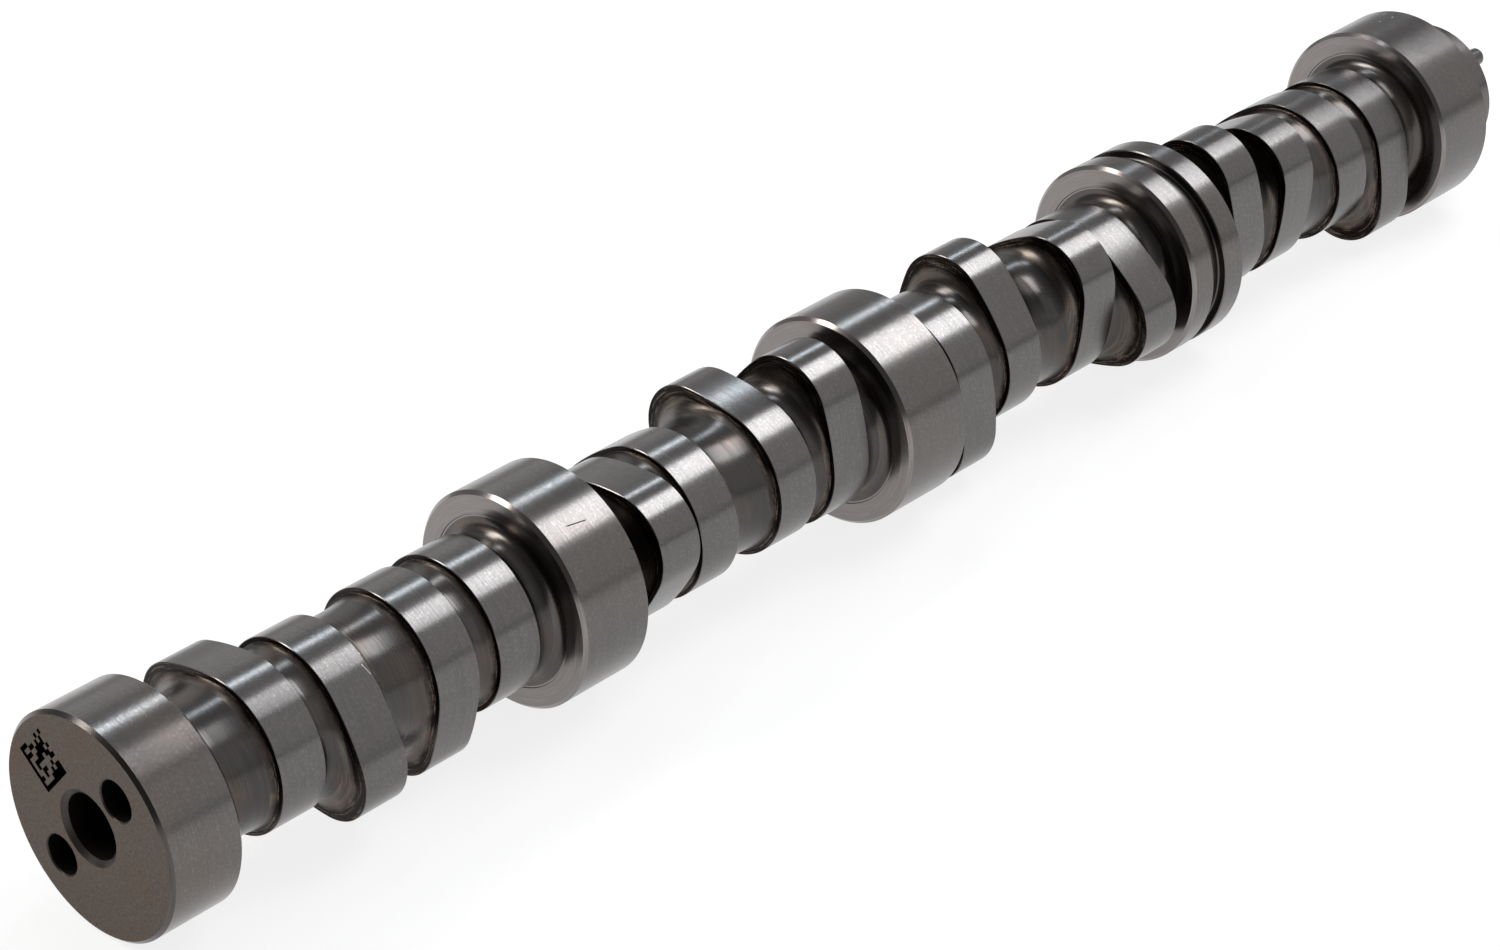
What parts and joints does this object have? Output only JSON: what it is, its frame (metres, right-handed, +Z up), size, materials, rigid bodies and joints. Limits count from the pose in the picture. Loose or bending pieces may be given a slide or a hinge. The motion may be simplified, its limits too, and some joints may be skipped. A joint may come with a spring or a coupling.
{
  "type": "camshaft",
  "caption": "Hollow engine camshaft: round bearing journals with pairs of egg-shaped lobes between them, a bored rear end and a nose with a bolt hole and dowel pin.",
  "frame": {"origin": "on the shaft's axis, at the middle of the front journal", "axes": "+X along the shaft towards the nose that carries the timing gear, +Z up with the shaft lying level and turned as the picture shows it"},
  "size_m": [0.497, 0.055, 0.055],
  "materials": {
    "ground_steel": "ground journals and lobes, dark scale on the lobe sides",
    "pin_steel": "smooth drawn pin"
  },
  "bodies": {
    "root": {"camshaft": "ground_steel", "dowel_pin": "pin_steel"}
  },
  "joints": []
}
